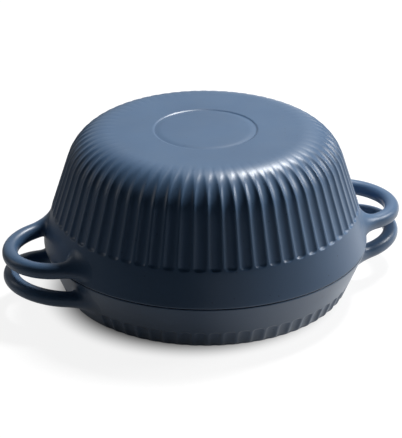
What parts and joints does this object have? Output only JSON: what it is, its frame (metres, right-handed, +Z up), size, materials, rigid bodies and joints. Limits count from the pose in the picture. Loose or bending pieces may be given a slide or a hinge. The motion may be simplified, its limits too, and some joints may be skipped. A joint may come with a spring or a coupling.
{
  "type": "double dutch oven",
  "caption": "Round fluted cast-iron oven in two halves: a deep pot turned over as a dome on a shallow pan, each with a loop handle on both sides.",
  "frame": {"origin": "centre of the pan's flat underside, on the surface it stands on", "axes": "+Z up along the round body's axis, +X towards one pair of loop handles, the other pair towards -X"},
  "size_m": [0.3496, 0.2718, 0.1395],
  "materials": {
    "pot_enamel": "matte navy enamel on cast iron, black enamel inside",
    "pan_enamel": "matte navy enamel on cast iron, black enamel inside"
  },
  "bodies": {
    "pan": {"shallow_pan": "pan_enamel"},
    "pot": {"deep_pot": "pot_enamel"}
  },
  "joints": [
    {"name": "pot_lift", "type": "slide", "parent": "pan", "child": "pot", "axis": [0, 0, 1], "range_m": [0, 0.25]}
  ]
}
